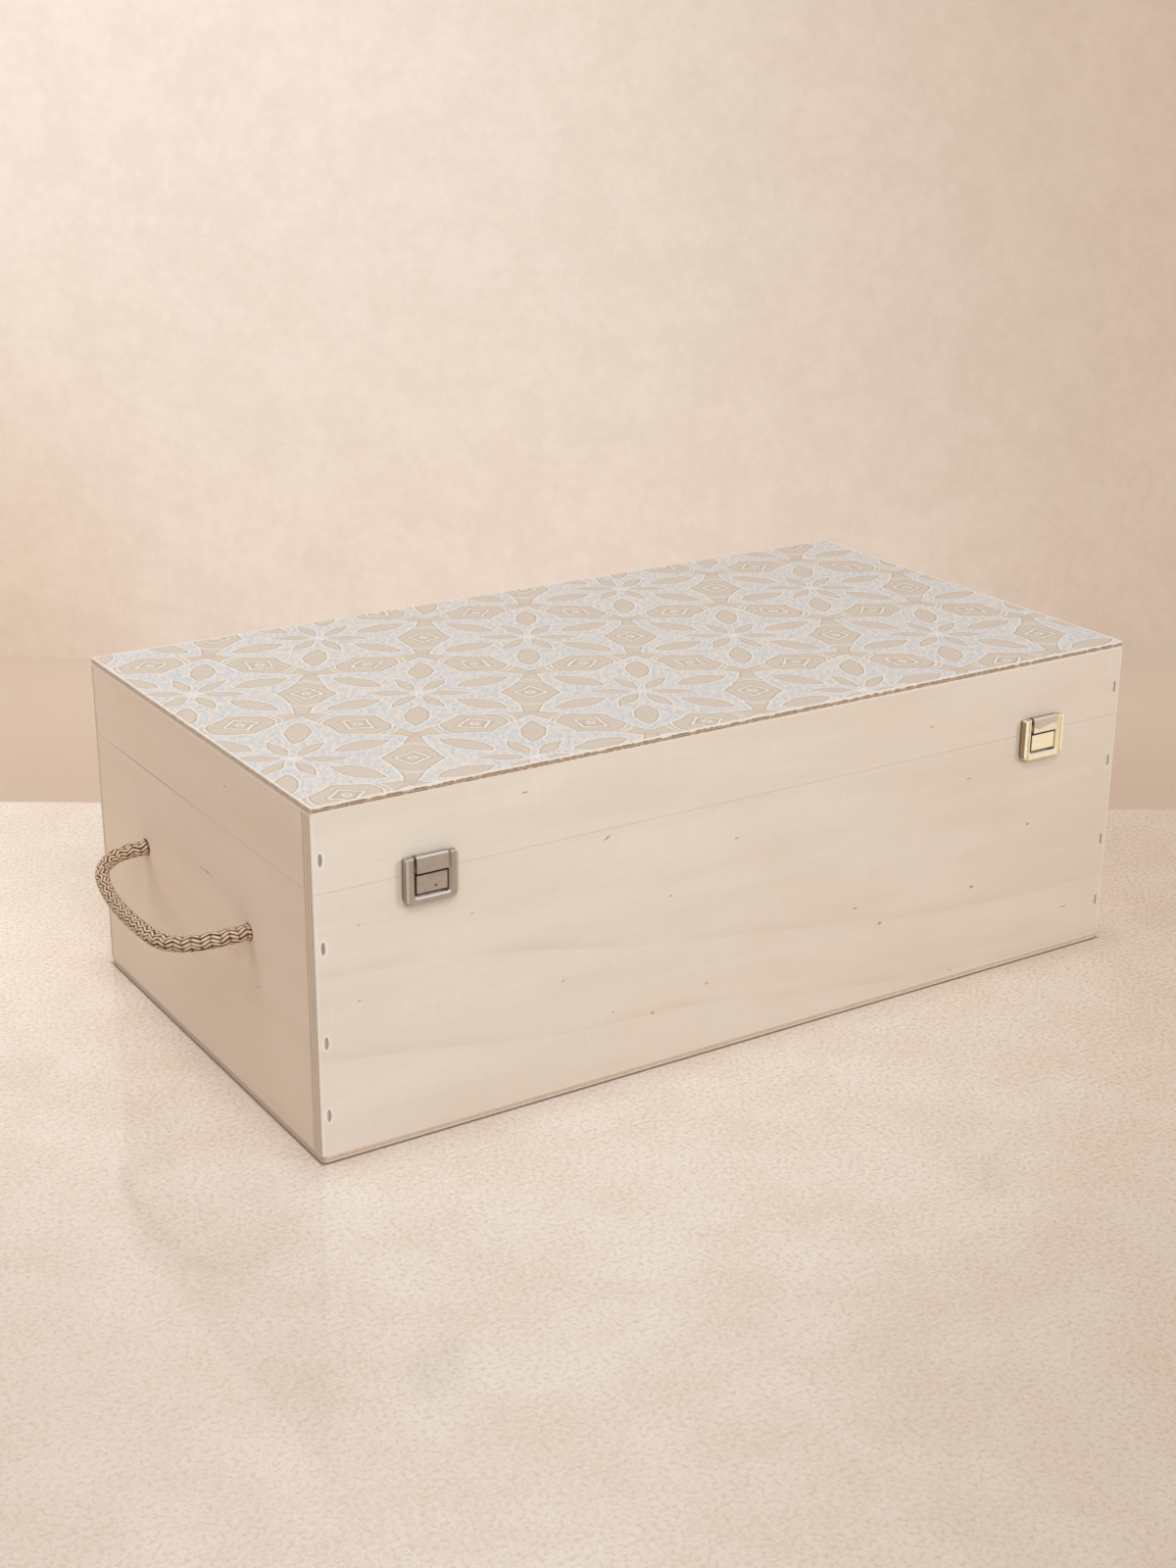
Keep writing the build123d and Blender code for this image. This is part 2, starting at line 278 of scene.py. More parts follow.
def bump(tree, shader, height, distance):
    node = add(tree, "Bump", {"Height": height, "Strength": 1.0, "Distance": distance})
    tree.links.new(node.outputs[0], shader.inputs["Normal"])


def slab(name, corners, material):
    mesh = bpy.data.meshes.new(name)
    mesh.from_pydata(corners, [], [(0, 1, 2, 3)])
    mesh.materials.append(material)
    thing = bpy.data.objects.new(name, mesh)
    bpy.context.scene.collection.objects.link(thing)
    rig.stage(thing)


ahead = Vector((-math.sin(azimuth), math.cos(azimuth), 0))
across = Vector((math.cos(azimuth), math.sin(azimuth), 0))


def distance_along(tree, point, direction):
    return add(tree, "VectorMath", (point, tuple(direction)), operation="DOT_PRODUCT").outputs["Value"]


# Where the floor's painted shades start and end, in millimetres: ahead of the box's middle, across
# it, and out from the foot of the box. Past the cove the floor is painted in the wall's shaded colours.
front_shade, right_shade, left_shade = (60.0, -500.0), (0.0, 430.0), (-40.0, -380.0)
foot_shade, foot_shadow_line = (24.0, 0.0), (1.4, 0.4)
cove_edge, cove_rise = (230.0, 234.0), (240.0, 520.0)
stone_relief = 0.000008

stone, tree, shader = finish("warm_stone")
point, _ = millimetres(tree)
grains = clouds(tree, point, 0.42, 4.0, 0.7)
patches = clouds(tree, point, 0.02, 6.0, 0.62)
crumbs = clouds(tree, move(tree, "ADD", point, (310.0, 170.0, 0.0)), 0.42, 2.0, 0.5)
nearer = fade(tree, distance_along(tree, point, ahead), *front_shade)
sharp = calc(tree, "SUBTRACT", 1.0, times(tree, nearer, 0.35))
base = blend(tree, fade(tree, patches, 0.32, 0.68), paint(245, 228, 210), paint(253, 240, 226))
dark_grains = times(tree, fade(tree, grains, 0.48, 0.66, 0.0, 0.9), sharp)
light_grains = times(tree, fade(tree, grains, 0.50, 0.34, 0.0, 0.9), sharp)
colour = blend(tree, dark_grains, base, paint(225, 201, 181))
colour = blend(tree, light_grains, colour, paint(255, 246, 235))
colour = blend(tree, fade(tree, crumbs, 0.72, 0.82, 0.0, 0.6), colour, paint(176, 150, 130))
shade_to_right = fade(tree, distance_along(tree, point, across - ahead * 0.13), *right_shade)
left_painted_shading = times(tree, nearer, fade(tree, distance_along(tree, point, across), *left_shade))
# Painted shade: the floor is tinted darker towards the front, to the right and at the near left.
colour = tint(tree, colour, nearer, (0.78, 0.745, 0.725, 1.0))
colour = tint(tree, colour, shade_to_right, (0.755, 0.70, 0.635, 1.0))
colour = tint(tree, colour, left_painted_shading, (0.88, 0.82, 0.79, 1.0))
foot_corner = tuple(1000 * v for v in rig.box("base_bottom")[1])
past_foot = move(tree, "SUBTRACT", move(tree, "ABSOLUTE", point), foot_corner)
foot_parts = add(tree, "SeparateXYZ", (past_foot,)).outputs
from_foot = calc(tree, "MAXIMUM", foot_parts[0], foot_parts[1])
# A painted shadow round the foot of the box: a soft dark band, and a dark line right at its edge.
colour = blend(tree, fade(tree, from_foot, *foot_shade, 0.0, 0.16), colour, paint(140, 100, 70))
colour = blend(tree, fade(tree, from_foot, *foot_shadow_line, 0.0, 0.65), colour, paint(92, 64, 44))
# Past the cove line the floor is painted in the wall's colours, darker than the lit floor and darker to the right, as
# painted shade.
coved = fade(tree, distance_along(tree, point, ahead), *cove_edge)
beyond = fade(tree, distance_along(tree, point, ahead), *cove_rise)
cove_left = blend(tree, beyond, paint(213, 187, 164), paint(226, 201, 180))
cove_right = blend(tree, beyond, paint(208, 184, 162), paint(224, 200, 178))
colour = blend(tree, coved, colour, blend(tree, shade_to_right, cove_left, cove_right))
tree.links.new(colour, shader.inputs["Base Color"])
tree.links.new(fade(tree, grains, 0.3, 0.7, 0.05, 0.11), shader.inputs["Roughness"])
shader.inputs["Specular IOR Level"].default_value = 1.0
bump(tree, shader, times(tree, grains, calc(tree, "SUBTRACT", 1.0, coved)), stone_relief)
reach = 4
slab("floor", [(-reach, -reach, 0), (reach, -reach, 0), (reach, reach, 0), (-reach, reach, 0)], stone)

# How far off the wall and its pattern stand, in metres, and where the wall's painted shades start and
# end, in millimetres.
wall_distance, pattern_distance = 1.75, 1.445
slope_shade, low_shade = (700.0, 20.0), (400.0, 80.0)
wall_left, wall_right = (-250.0, -400.0), (200.0, 400.0)

wall, tree, shader = finish("plain_wall")
nearer_share = pattern_distance / wall_distance
point, _ = millimetres(tree)
towards_camera = tuple(camera.location * (1000 * (1 - nearer_share)))
point = move(tree, "MULTIPLY_ADD", point, (nearer_share,) * 3, towards_camera)
patches = clouds(tree, point, 0.12, 6.0, 0.8)
blots = clouds(tree, point, 0.03, 5.0, 0.65)
colour = paint(248, 231, 215)
# Painted shade: the wall darkens to the right and up it, and its foot takes darker paints at the left and right.
shade = distance_along(tree, point, across + Vector((0, 0, 0.5)))
colour = blend(tree, fade(tree, shade, *slope_shade), paint(211, 186, 163), colour)
low = fade(tree, distance_along(tree, point, (0.0, 0.0, 1.0)), *low_shade)
left_painted_shading = fade(tree, distance_along(tree, point, across), *wall_left)
colour = blend(tree, times(tree, low, left_painted_shading), colour, paint(239, 216, 193))
far_right_shade = fade(tree, distance_along(tree, point, across), *wall_right)
colour = blend(tree, times(tree, low, far_right_shade), colour, paint(222, 200, 179))
colour = tint(tree, colour, fade(tree, patches, 0.3, 0.7, 1.0, 0.0), (0.96, 0.955, 0.95, 1.0))
colour = tint(tree, colour, fade(tree, blots, 0.35, 0.65, 1.0, 0.0), (0.965, 0.957, 0.949, 1.0))
tree.links.new(colour, shader.inputs["Base Color"])
shader.inputs["Roughness"].default_value = 0.9
clear = add(tree, "BsdfTransparent")
behind = add(tree, "NewGeometry").outputs["Backfacing"]
seen = add(tree, "MixShader", (behind, shader.outputs[0], clear.outputs[0]))
tree.links.new(seen.outputs[0], tree.nodes["Material Output"].inputs["Surface"])
foot = Vector((camera.location.x, camera.location.y, 0)) + ahead * wall_distance
wall_side, wall_height = 2.5, 3
outline = ((-wall_side, 0), (wall_side, 0), (wall_side, wall_height), (-wall_side, wall_height))
corners = [foot + across * along + Vector((0, 0, height)) for along, height in outline]
slab("wall", corners, wall)

lamp_colour = (0.87, 0.93, 0.985)
lamps = (
    ("high_lamp", (-0.55, -1.55, 1.80), (0, 0, 0.08), 1.4, 29.4),
    ("low_lamp", (1.25, -2.00, 0.95), (0, 0, 0.08), 0.8, 18.2),
    ("wall_lamp", (-0.892, 0.355, 1.037), (-0.20, 0.88, 0.395), 1.1, 5.6))
for name, place, aim, size, power in lamps:
    lamp = bpy.data.lights.new(name, "AREA")
    lamp.shape, lamp.size, lamp.energy, lamp.color = "DISK", size, power, lamp_colour
    thing = bpy.data.objects.new(name, lamp)
    thing.location = place
    thing.visible_glossy = False
    thing.rotation_euler = (Vector(aim) - Vector(place)).to_track_quat("-Z", "Y").to_euler()
    bpy.context.scene.collection.objects.link(thing)
sky = bpy.data.worlds.new("room")
sky.use_nodes = True
bpy.context.scene.world = sky
sky.node_tree.nodes["Background"].inputs["Color"].default_value = (0.86, 0.925, 0.985, 1)
sky.node_tree.nodes["Background"].inputs["Strength"].default_value = 0.42

# ---------------------------------------------------------------------------------------------
# The rope handles: one length of 8.5 mm braided rope through two holes in each end, knotted inside.
# Its 24 strands are worked two over two under, so that the surface runs in zigzags. It stands out
# stiffly and droops in the middle.
# ---------------------------------------------------------------------------------------------
rope_radius = 0.00425
rope_lay = 0.051
strands_each_way = 12
strand_width, strand_thickness = 0.00195, 0.0013
strand_inset, strand_wave = 0.00048, 0.00046
core_radius, wool_relief = 0.0024, 0.0003
strand_sides, core_sides = 10, 12
end_outside, end_inside = 0.250, 0.242
waist = 0.16
rope_holes = (-0.060, 0.069)
hole_height = 0.0923
handle_route = [
    (0.0, -0.0600, 0.0923), (0.0155, -0.0600, 0.0920), (0.0290, -0.0532, 0.0897), (0.0372, -0.0398, 0.0877),
    (0.0377, -0.0190, 0.0859), (0.0374, 0.0045, 0.0853), (0.0364, 0.0277, 0.0863), (0.0334, 0.0475, 0.0888),
    (0.0271, 0.0612, 0.0905), (0.0147, 0.0690, 0.0923), (0.0, 0.0690, 0.0923)]
knot_route = [
    (-0.0075, 0.0, 0.0), (0.001, 0.0, 0.0), (0.006, 0.001, 0.002), (0.0125, 0.0035, 0.0045),
    (0.0165, 0.006, 0.000), (0.0135, 0.0058, -0.0055), (0.0075, 0.0015, -0.0068),
    (0.0035, -0.0045, -0.0045), (0.0042, -0.0068, 0.0022), (0.0085, -0.0045, 0.0065),
    (0.0120, 0.0, 0.0045), (0.0150, -0.0035, -0.0005), (0.0205, -0.0030, -0.0015),
    (0.0305, -0.0010, -0.0010)]


def spline_points(route, pitch=0.0007):
    """Points along the smooth curve that the route's points control, evenly spaced."""
    curve = bpy.data.curves.new("route", "CURVE")
    curve.dimensions = "3D"
    curve.resolution_u = 24
    spline = curve.splines.new("NURBS")
    spline.points.add(len(route) - 1)
    for control, place in zip(spline.points, route):
        control.co = (*place, 1.0)
    spline.order_u = 3
    spline.use_endpoint_u = True
    guide = bpy.data.objects.new("route", curve)
    bpy.context.scene.collection.objects.link(guide)
    mesh = bpy.data.meshes.new_from_object(guide.evaluated_get(bpy.context.evaluated_depsgraph_get()))
    line = [v.co.copy() for v in mesh.vertices]
    bpy.data.objects.remove(guide)
    bpy.data.meshes.remove(mesh)
    far = [0.0]
    for first, second in zip(line, line[1:]):
        far.append(far[-1] + (second - first).length)
    count = round(far[-1] / pitch)
    points, index = [], 0
    for step in range(count + 1):
        goal = far[-1] * step / count
        while index < len(line) - 2 and far[index + 1] < goal:
            index += 1
        share = (goal - far[index]) / max(far[index + 1] - far[index], 1e-12)
        points.append(line[index].lerp(line[index + 1], share))
    return points, far[-1]


def frames_along(points):
    """The direction and two cross directions at each point, turned as little as can be."""
    ahead_of = [(b - a).normalized() for a, b in zip(points, points[1:])]
    ahead_of.append(ahead_of[-1])
    side = ahead_of[0].orthogonal().normalized()
    frames = []
    for way in ahead_of:
        side = (side - way * side.dot(way)).normalized()
        frames.append((way, side, way.cross(side)))
    return frames


def sweep_section(rings, vertices, faces):
    """Joins rings of points into one closed tube."""
    start, size = len(vertices), len(rings[0])
    for ring in rings:
        vertices.extend(ring)
    for row in range(len(rings) - 1):
        for k in range(size):
            low, next_low = start + row * size + k, start + row * size + (k + 1) % size
            faces.append((low, next_low, next_low + size, low + size))
    faces.append(tuple(start + k for k in reversed(range(size))))
    faces.append(tuple(start + (len(rings) - 1) * size + k for k in range(size)))


def braid(name, route, material, pinch=0.0):
    points, length = spline_points(route)
    frames = frames_along(points)
    pitch = length / (len(points) - 1)
    band = 2 * rope_lay / strands_each_way
    vertices, faces, tone = [], [], []
    for hand in (1, -1):
        for strand in range(strands_each_way):
            line = []
            for index, (middle, (way, side, third)) in enumerate(zip(points, frames)):
                along = index * pitch
                slim = 1 - pinch * math.sin(math.pi * max(0.0, along / length - 0.3) / 0.7)
                loose = math.sin(along * 410 + strand * 2.1 + hand)
                loose += math.sin(along * 233 + strand * 4.7 - hand)
                turn = hand * 2 * math.pi * along / rope_lay + 2 * math.pi * strand / strands_each_way
                turn += 0.035 * loose
                uneven = 0.25 * math.sin(strand * 2.4)
                wave = math.tanh(2.6 * math.cos(2 * math.pi * along / band + uneven)) * hand
                out = rope_radius - strand_thickness / 2 - strand_inset + strand_wave * wave
                radial = side * math.cos(turn) + third * math.sin(turn)
                line.append((middle + radial * out * slim, radial, wave, slim))
            rings = []
            for index, (centre, radial, wave, slim) in enumerate(line):
                run = line[min(index + 1, len(line) - 1)][0] - line[max(index - 1, 0)][0]
                wide = run.cross(radial).normalized()
                thick = wide.cross(run).normalized()
                ring = []
                for k in range(strand_sides):
                    angle = 2 * math.pi * k / strand_sides
                    squared = math.copysign(abs(math.cos(angle)) ** 0.8, math.cos(angle))
                    across_strand = squared * strand_width * slim / 2
                    through_strand = math.sin(angle) * strand_thickness / 2
                    ring.append(centre + wide * across_strand + thick * through_strand)
                    # The edges of each strand, and the stretches that pass under, get lower shares: painted shade in
                    # the grooves.
                    edge = 1 - abs(math.cos(angle)) ** 3
                    tone.append((0.5 + 0.5 * wave) * edge)
                rings.append(ring)
            sweep_section(rings, vertices, faces)
    core = []
    for middle, (way, side, third) in zip(points, frames):
        ring = []
        for k in range(core_sides):
            angle = 2 * math.pi * k / core_sides
            ring.append(middle + (side * math.cos(angle) + third * math.sin(angle)) * core_radius)
            # The core takes the darkest painted shade, as it lies deep between the strands.
            tone.append(0.0)
        core.append(ring)
    sweep_section(core, vertices, faces)
    mesh = bpy.data.meshes.new(name)
    mesh.from_pydata(vertices, [], faces)
    mesh.attributes.new("crown_and_groove_shade", "FLOAT", "POINT").data.foreach_set("value", tone)
    mesh.polygons.foreach_set("use_smooth", [True] * len(mesh.polygons))
    mesh.materials.append(material)
    thing = bpy.data.objects.new(name, mesh)
    bpy.context.scene.collection.objects.link(thing)
    return thing, points, length


rope, tree, shader = finish("braided_rope")
crown_and_groove_shade = add(tree, "Attribute", attribute_name="crown_and_groove_shade").outputs["Fac"]
point, _ = millimetres(tree)
wool = clouds(tree, point, 2.2, 3.0, 0.7)
soil = clouds(tree, point, 0.12, 2.0)
# Painted shade: low shares darken to the dark brown of the grooves, high ones keep the pale crowns.
colour = blend(tree, fade(tree, crown_and_groove_shade, 0.42, 1.0), paint(80, 48, 26), paint(238, 207, 176))
colour = blend(tree, fade(tree, wool, 0.45, 0.7, 0.0, 0.4), colour, paint(170, 138, 108))
colour = blend(tree, fade(tree, soil, 0.4, 0.7, 0.0, 0.25), colour, paint(188, 160, 132))
tree.links.new(colour, shader.inputs["Base Color"])
shader.inputs["Roughness"].default_value = 0.8
shader.inputs["Specular IOR Level"].default_value = 0.25
bump(tree, shader, wool, wool_relief)

for side, sign in (("left", -1), ("right", 1)):
    route = [(sign * (end_outside + out), along, height) for out, along, height in handle_route]
    loop, line, length = braid(f"{side}_handle_rope", route, rope, waist)
    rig.replaces(loop, f"{side}_rope_loop")
    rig.slot(loop, "rope")
    knots = []
    for place, lean in zip(rope_holes, (1, -1)):
        inside = [(sign * (end_inside - x), place + lean * y, hole_height + z) for x, y, z in knot_route]
        knot, _, _ = braid(f"{side}_knot_{'front' if place < 0 else 'back'}", inside, rope)
        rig.ride(knot, "base")
        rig.slot(knot, "rope")
        knots.append(knot)
    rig.replaces(knots[0], f"{side}_rope_ends")
    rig.blend(loop, "base", f"{side}_handle", (sign * 0.2505, 0, hole_height), (sign * 0.258, 0, hole_height))
    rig.cord(loop, exit=line[0], length=length, diameter=2 * rope_radius, far_end="object", stiffness="stiff",
            lay="hanging", path=line, with_pieces=knots)

# ---------------------------------------------------------------------------------------------
# The case: plywood panels with a pale, fine-grained birch veneer on both sides, glued and stapled.
# The front and back lap over the ends, so the layers of their edges show as thin upright lines at
# the corners.
# ---------------------------------------------------------------------------------------------
def new_group(name, given, made):
    group = bpy.data.node_groups.new(name, "ShaderNodeTree")
    for title, kind, value in given:
        socket = group.interface.new_socket(title, in_out="INPUT", socket_type="NodeSocket" + kind)
        if value is not None:
            socket.default_value = value
    for title, kind in made:
        group.interface.new_socket(title, in_out="OUTPUT", socket_type="NodeSocket" + kind)
    return group, group.nodes.new("NodeGroupInput").outputs, group.nodes.new("NodeGroupOutput").inputs


def use(tree, group, values):
    node = tree.nodes.new("ShaderNodeGroup")
    node.node_tree = group
    for key, value in values.items():
        feed(tree, node.inputs[key], value)
    return node.outputs


veneer, given, made = new_group(
    "birch veneer",
    [("Point", "Vector", None), ("Pale", "Color", paint(233, 217, 200)),
     ("Warm", "Color", paint(221, 200, 178)), ("Dark", "Color", paint(170, 138, 104)),
     ("Streak", "Float", 0.0), ("Mark", "Float", 0.0)],
    [("Colour", "Color"), ("Roughness", "Float"), ("Height", "Float")])
point = given["Point"]
fibres = clouds(veneer, move(veneer, "MULTIPLY", point, (0.03, 1.1, 1.1)), 1.0, 4.0, 0.65)
figure = clouds(veneer, move(veneer, "MULTIPLY", point, (0.006, 0.045, 0.045)), 1.0, 3.0, 0.55)
pores = clouds(veneer, move(veneer, "MULTIPLY", point, (0.12, 2.2, 2.2)), 1.0, 1.0, 0.5)
sanding = clouds(veneer, move(veneer, "MULTIPLY", point, (0.9, 0.02, 0.02)), 1.0, 3.0, 0.6)
cloudy = clouds(veneer, point, 0.014, 2.0)
colour = blend(veneer, fade(veneer, figure, 0.32, 0.72, 0.0, 0.55), given["Pale"], given["Warm"])
colour = blend(veneer, fade(veneer, cloudy, 0.35, 0.7, 0.0, 0.3), colour, given["Warm"])
colour = blend(veneer, fade(veneer, fibres, 0.35, 0.75, 0.0, 0.3), colour, given["Warm"])
colour = blend(veneer, fade(veneer, pores, 0.66, 0.8, 0.0, 0.28), colour, given["Dark"])
colour = blend(veneer, fade(veneer, sanding, 0.56, 0.74, 0.0, 0.16), colour, paint(246, 236, 224))
colour = blend(veneer, given["Streak"], colour, blend(veneer, 0.3, given["Warm"], given["Dark"]))
colour = blend(veneer, times(veneer, given["Mark"], 0.75), colour, given["Dark"])
feed(veneer, made["Colour"], colour)
feed(veneer, made["Roughness"], fade(veneer, fibres, 0.3, 0.7, 0.72, 0.84))
feed(veneer, made["Height"], calc(veneer, "SUBTRACT", times(veneer, fibres, 0.6), times(veneer, pores, 0.3)))

layers, given, made = new_group(
    "plywood layers",
    [("Point", "Vector", None), ("Depth", "Float", 0.0), ("Sheet", "Float", 1.4), ("Line", "Float", 0.09),
     ("Pale", "Color", paint(228, 209, 188)), ("Core", "Color", paint(221, 193, 166)),
     ("Glue", "Color", paint(186, 152, 122))],
    [("Colour", "Color"), ("Roughness", "Float"), ("Height", "Float")])
point = given["Point"]
waver = clouds(layers, point, 0.35, 3.0, 0.6)
depth = calc(layers, "ADD", given["Depth"], calc(layers, "MULTIPLY_ADD", waver, 0.5, -0.25))
sheets = calc(layers, "DIVIDE", depth, given["Sheet"])
cross = fade(layers, calc(layers, "PINGPONG", calc(layers, "SUBTRACT", sheets, 0.5), 1.0), 0.42, 0.58)
fuzz = clouds(layers, move(layers, "MULTIPLY", point, (1.6, 1.6, 1.6)), 1.0, 4.0, 0.7)
glue_line = fade(layers, calc(layers, "PINGPONG", sheets, 0.5), given["Line"], 0.0)
joint = times(layers, glue_line, fade(layers, waver, 0.35, 0.55))
cut_core = blend(layers, fade(layers, fuzz, 0.35, 0.65, 0.0, 0.6), given["Core"], given["Glue"])
colour = blend(layers, cross, given["Pale"], cut_core)
colour = blend(layers, joint, colour, given["Glue"])
feed(layers, made["Colour"], colour)
feed(layers, made["Roughness"], fade(layers, fuzz, 0.3, 0.7, 0.65, 0.85))
feed(layers, made["Height"], times(layers, fuzz, calc(layers, "ADD", cross, 0.2)))

axes = {"X": 0, "Y": 1, "Z": 2}
# Half the case's length, half its depth, its height and the saw cut's height, in millimetres.
half_length, half_depth, case_height, saw_cut = 250.0, 134.0, 180.0, 137.8
wood_relief = 0.00012


def panel_coordinates(tree, along, over, through, outer, inward):
    """The point as (along the grain, over the face, depth), the depth, and where a face shows."""
    point, where = millimetres(tree)
    parts = add(tree, "SeparateXYZ", (point,)).outputs
    depth = times(tree, calc(tree, "SUBTRACT", parts[axes[through]], outer), inward)
    laid = add(tree, "CombineXYZ", (parts[axes[along]], parts[axes[over]], depth)).outputs[0]
    facing = add(tree, "SeparateXYZ", (where.outputs["Normal"],)).outputs[axes[through]]
    face = fade(tree, calc(tree, "ABSOLUTE", facing), 0.6, 0.75)
    return laid, depth, face, parts


def speck(tree, parts, first, second, spot):
    """A mark on a face: its two coordinates, then its length, width and slope, in millimetres."""
    a, b, length, width, slope = spot
    run = calc(tree, "SUBTRACT", parts[axes[first]], a)
    rise = calc(tree, "SUBTRACT", calc(tree, "SUBTRACT", parts[axes[second]], b), times(tree, run, slope))
    shares = (calc(tree, "DIVIDE", run, length), calc(tree, "DIVIDE", rise, width), 0.0)
    reach = add(tree, "CombineXYZ", shares).outputs[0]
    size = add(tree, "VectorMath", (reach,), operation="LENGTH").outputs["Value"]
    return fade(tree, size, 1.0, 0.45)


def streak(tree, parts, heights, width):
    """A long streak in the veneer: its height at each place from left to right, in millimetres."""
    place = calc(tree, "DIVIDE", calc(tree, "ADD", parts[0], half_length), 2 * half_length)
    bend = tree.nodes.new("ShaderNodeFloatCurve")
    line = bend.mapping.curves[0]
    line.points[0].location = (0.0, heights[0][1] / case_height)
    line.points[1].location = (1.0, heights[-1][1] / case_height)
    for x, z in heights[1:-1]:
        line.points.new((x + half_length) / (2 * half_length), z / case_height)
    bend.mapping.update()
    feed(tree, bend.inputs["Value"], place)
    off = calc(tree, "SUBTRACT", parts[2], times(tree, bend.outputs[0], case_height))
    above = fade(tree, off, 5.0 * width, 0.0)
    below = fade(tree, off, -width, 0.0)
    return times(tree, above, below)


def highest(tree, masks):
    total = masks[0]
    for mask in masks[1:]:
        total = calc(tree, "MAXIMUM", total, mask)
    return total


def panel_finish(name, lie, colours, sheet, marks=None, streaks=None, painted_shading=None, corner_highlight=None, crushed=()):
    """Plywood laid along one axis and over another, with its outer face, and inwards, on a third."""
    material, tree, shader = finish(name)
    along, over = lie[:2]
    pale, warm = colours
    laid, depth, face, parts = panel_coordinates(tree, *lie)
    spots = highest(tree, [speck(tree, parts, along, over, spot) for spot in marks]) if marks else 0.0
    runs = highest(tree, [streak(tree, parts, line, width) for line, width in streaks]) if streaks else 0.0
    if streaks:
        runs = times(tree, runs, fade(tree, clouds(tree, laid, 0.02), 0.3, 0.65, 0.06, 0.26))
    skin = use(tree, veneer, {"Point": laid, "Pale": pale, "Warm": warm, "Streak": runs, "Mark": spots})
    colour = skin["Colour"]
    for height in crushed:
        halo = speck(tree, parts, "X", "Z", (staple_line, height, 3.0, 5.6, 0.0))
        colour = blend(tree, halo, colour, paint(242, 231, 218))
        slot = speck(tree, parts, "X", "Z", (staple_line, height, 1.7, 4.2, 0.0))
        colour = blend(tree, slot, colour, paint(186, 164, 145))
    # Painted shading: the colour is multiplied by a tone along a gradient, as the light falls.
    if painted_shading:
        direction, start, end, tone = painted_shading
        place = add(tree, "CombineXYZ", tuple(parts)).outputs[0]
        there = fade(tree, distance_along(tree, place, direction), start, end)
        colour = blend(tree, there, colour, blend(tree, 1.0, colour, tone, "MULTIPLY"))
    # A painted highlight: a pale line along the panel's upright corner edges.
    if corner_highlight:
        axis, start, end = corner_highlight
        painted_edge_highlight = fade(tree, calc(tree, "ABSOLUTE", parts[axes[axis]]), start, end, 0.0, 0.8)
        colour = blend(tree, painted_edge_highlight, colour, paint(244, 232, 218))
    edge = use(tree, layers, {"Point": laid, "Depth": depth, "Sheet": sheet})
    tree.links.new(blend(tree, face, edge["Colour"], colour), shader.inputs["Base Color"])
    rough = add(tree, "Mix", {0: face, 2: edge["Roughness"], 3: skin["Roughness"]}).outputs[0]
    tree.links.new(rough, shader.inputs["Roughness"])
    high = add(tree, "Mix", {0: face, 2: edge["Height"], 3: skin["Height"]}).outputs[0]
    bump(tree, shader, high, wood_relief)
    shader.inputs["Specular IOR Level"].default_value = 0.18
    return material


def dress(material, *names):
    for name in names:
        for slot in nodes[name].material_slots:
            slot.material = material


staple_line, staple_heights = -245.8, (25.0, 62.6, 110.6, 154.3)
front_marks = [
    (-91.7, 133.3, 2.4, 0.9, 0.6), (-87.0, 38.0, 1.2, 0.5, 0.0), (-63.0, 31.3, 1.6, 0.6, 0.2),
    (-13.3, 116.7, 1.4, 0.6, 0.2), (-53.3, 94.0, 1.4, 0.6, 0.2), (-138.3, 166.0, 2.2, 0.6, 0.0),
    (-228.3, 80.3, 1.0, 0.6, 0.0), (-116.7, 62.7, 1.2, 0.5, 0.4), (-30.0, 40.0, 1.8, 0.6, 0.4),
    (66.7, 60.0, 2.0, 0.7, 0.0), (84.3, 47.3, 1.8, 1.2, 0.2), (149.0, 54.3, 2.2, 1.1, 0.0),
    (187.7, 83.7, 1.6, 1.0, 0.0), (221.0, 26.3, 4.0, 0.5, 0.0), (-63.3, 31.7, 1.2, 0.8, 0.0),
    (137.3, 6.7, 1.4, 0.5, 0.0), (113.3, 154.0, 1.6, 0.6, 0.2), (-167.7, 110.7, 1.8, 0.4, 0.1),
    (-227.3, 118.3, 1.2, 0.4, 0.1), (141.7, 119.3, 2.4, 0.5, 0.0)]
upper_streak = [
    (-250, 97), (-150, 86.7), (-77, 72.5), (0, 61.5), (50, 54.5), (100, 47.5), (150, 43.3), (250, 41.5)]
lower_streak = [
    (-250, 54.5), (-170, 42.5), (-123, 34.5), (-33, 29.5), (23, 19.5), (87, 12.0), (167, 5.5), (250, 3.0)]
# The front is painted a little darker towards the lower right, as shade.
front_painted_shade = ((1.0, 0.0, -0.9), -340.0, 250.0, (0.912, 0.878, 0.843, 1.0))
# A painted highlight along the front's corner edges.
front_corner_highlight = ("X", 248.7, 249.6)
side_colours = (paint(234, 218, 201), paint(224, 204, 183))
front_ply = panel_finish(
    "front_plywood", ("X", "Z", "Y", -half_depth, 1.0), side_colours, 1.43,
    front_marks, [(upper_streak, 1.6), (lower_streak, 1.4)], front_painted_shade, front_corner_highlight, staple_heights)
back_ply = panel_finish("back_plywood", ("X", "Z", "Y", half_depth, -1.0), side_colours, 1.33)
dress(front_ply, "base_front", "lid_front")
dress(back_ply, "base_back", "lid_back")
end_marks = [(-40.0, 161.0, 2.0, 0.5, 0.2), (-68.0, 66.0, 1.6, 0.5, -0.6)]
# The last of the left end's marks is painted shade: a dark line along the saw cut.
left_end_marks_and_seam_shade = [
    (-10.5, 106.7, 11.0, 0.35, -0.02), (-12.0, 106.5, 2.6, 0.5, 0.0), *end_marks,
    (58.0, saw_cut, 80.0, 0.4, 0.0)]
end_colours = (paint(237, 214, 192), paint(229, 203, 178))
